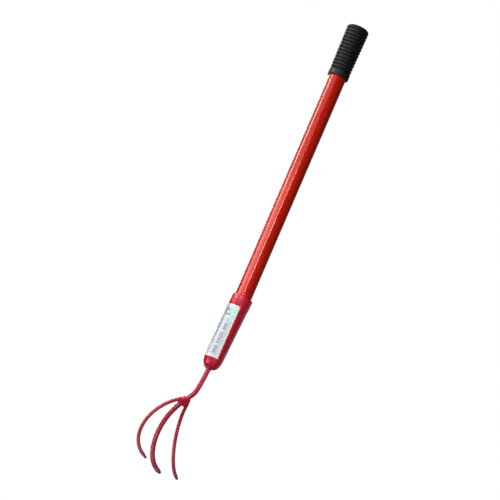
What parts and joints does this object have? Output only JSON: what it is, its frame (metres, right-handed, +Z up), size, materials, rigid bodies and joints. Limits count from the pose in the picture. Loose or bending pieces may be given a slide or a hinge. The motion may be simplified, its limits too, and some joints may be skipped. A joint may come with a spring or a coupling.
{
  "type": "three-tine hand cultivator",
  "caption": "Hand cultivator: ribbed black grip, orange-red coated tube, tapered crimson socket with a wrap label, and a fan of bent round-bar tines hooked forward.",
  "frame": {"origin": "on the axis of the handle tube, at the middle of its bare length, where a storage clip takes hold", "axes": "+Z up the tube towards the grip, +X the way the tine tips point, +Y to the right for someone the tips point at; the label faces -Y"},
  "size_m": [0.0783, 0.0774, 0.7089],
  "materials": {
    "grip_rubber": "satin",
    "tube_coat": "gloss",
    "head_paint": "gloss",
    "weld_paint": "gloss",
    "rivet_metal": "satin",
    "plug_wood": "raw",
    "label_film": "gloss"
  },
  "bodies": {
    "root": {"grip_sleeve": "grip_rubber", "handle_tube": "tube_coat", "socket": "head_paint", "socket_rivet": "rivet_metal", "tang_plug": "plug_wood", "centre_tine": "head_paint", "left_tine": "head_paint", "right_tine": "head_paint", "tang_weld": "weld_paint", "left_hub_weld": "weld_paint", "right_hub_weld": "weld_paint", "label": "label_film"}
  },
  "joints": []
}
